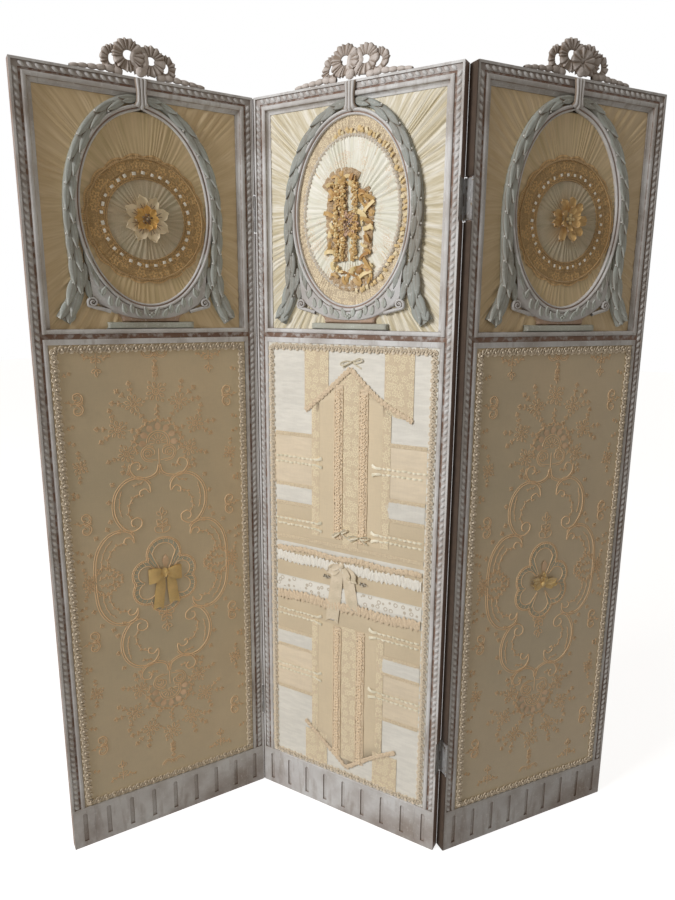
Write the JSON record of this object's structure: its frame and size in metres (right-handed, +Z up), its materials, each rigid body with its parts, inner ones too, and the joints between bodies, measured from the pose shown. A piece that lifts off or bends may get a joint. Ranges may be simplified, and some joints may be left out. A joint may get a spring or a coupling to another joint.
{
  "type": "partition wall",
  "caption": "Standing folding screen of hinged leaves: carved painted frames with gathered silk and an oval over a cloth panel, and a ribbon bow on top.",
  "frame": {"origin": "on the floor, under the middle of the centre leaf's thickness and width", "axes": "+X along the centre leaf to the viewer's right, -Y the way that the centre leaf's decorated face looks, +Z up"},
  "size_m": [1.0327, 0.8399, 1.7492],
  "materials": {
    "painted_wood": "aged grey-white paint over wood, worn to brown in the grooves",
    "carved_relief": "aged grey-green paint over carved wood",
    "carved_crest": "aged pinkish grey paint over carved wood",
    "outer_silk": "aged cream silk, gathered",
    "centre_silk": "cream silk, gathered",
    "outer_lace": "golden brown lace over net",
    "centre_lace": "white silk with tan lace",
    "satin": "olive beige satin with corded scrollwork",
    "patchwork": "strips of cream, white, peach and olive silk and lace",
    "gimp": "looped braid",
    "ribbon": "gold satin ribbon",
    "lining": "plain woven cloth",
    "hinge_metal": "steel painted over"
  },
  "bodies": {
    "leaf_centre": {"centre_stile_left": "painted_wood", "centre_stile_right": "painted_wood", "centre_top_rail": "painted_wood", "centre_mid_rail": "painted_wood", "centre_base_rail": "painted_wood", "centre_oval_frame": "carved_relief", "centre_crest_bow": "carved_crest", "centre_gathered_silk": "centre_silk", "centre_medallion": "centre_lace", "centre_cloth_panel": "patchwork", "centre_gimp_braid": "gimp", "centre_ribbon_bow": "ribbon", "centre_back_lining": "lining", "left_hinge_centre_upper_plate": "hinge_metal", "left_hinge_centre_lower_plate": "hinge_metal", "right_hinge_centre_upper_plate": "hinge_metal", "right_hinge_centre_lower_plate": "hinge_metal"},
    "link_left": {"left_hinge_upper_web": "hinge_metal", "left_hinge_upper_front_pin": "hinge_metal", "left_hinge_upper_back_pin": "hinge_metal", "left_hinge_lower_web": "hinge_metal", "left_hinge_lower_front_pin": "hinge_metal", "left_hinge_lower_back_pin": "hinge_metal"},
    "leaf_left": {"left_stile_left": "painted_wood", "left_stile_right": "painted_wood", "left_top_rail": "painted_wood", "left_mid_rail": "painted_wood", "left_base_rail": "painted_wood", "left_oval_frame": "carved_relief", "left_crest_bow": "carved_crest", "left_gathered_silk": "outer_silk", "left_medallion": "outer_lace", "left_cloth_panel": "satin", "left_gimp_braid": "gimp", "left_ribbon_bow": "ribbon", "left_back_lining": "lining", "left_hinge_outer_upper_plate": "hinge_metal", "left_hinge_outer_lower_plate": "hinge_metal"},
    "link_right": {"right_hinge_upper_web": "hinge_metal", "right_hinge_upper_front_pin": "hinge_metal", "right_hinge_upper_back_pin": "hinge_metal", "right_hinge_lower_web": "hinge_metal", "right_hinge_lower_front_pin": "hinge_metal", "right_hinge_lower_back_pin": "hinge_metal"},
    "leaf_right": {"right_stile_left": "painted_wood", "right_stile_right": "painted_wood", "right_top_rail": "painted_wood", "right_mid_rail": "painted_wood", "right_base_rail": "painted_wood", "right_oval_frame": "carved_relief", "right_crest_bow": "carved_crest", "right_gathered_silk": "outer_silk", "right_medallion": "outer_lace", "right_cloth_panel": "satin", "right_gimp_braid": "gimp", "right_ribbon_bow": "ribbon", "right_back_lining": "lining", "right_hinge_outer_upper_plate": "hinge_metal", "right_hinge_outer_lower_plate": "hinge_metal"}
  },
  "joints": [
    {"name": "left_back_pins", "type": "hinge", "parent": "leaf_centre", "child": "link_left", "pos_m": [-0.2416, 0.012, 0], "axis": [0, 0, -1], "range_deg": [0, 90]},
    {"name": "left_front_pins", "type": "hinge", "parent": "link_left", "child": "leaf_left", "pos_m": [-0.2416, -0.012, 0], "axis": [0, 0, 1], "range_deg": [-61.3, 108.7]},
    {"name": "right_back_pins", "type": "hinge", "parent": "leaf_centre", "child": "link_right", "pos_m": [0.2416, 0.012, 0], "axis": [0, 0, 1], "range_deg": [-54.8, 115.2]},
    {"name": "right_front_pins", "type": "hinge", "parent": "link_right", "child": "leaf_right", "pos_m": [0.26121, -0.00183, 0], "axis": [0, 0, -1], "range_deg": [0, 90]}
  ]
}
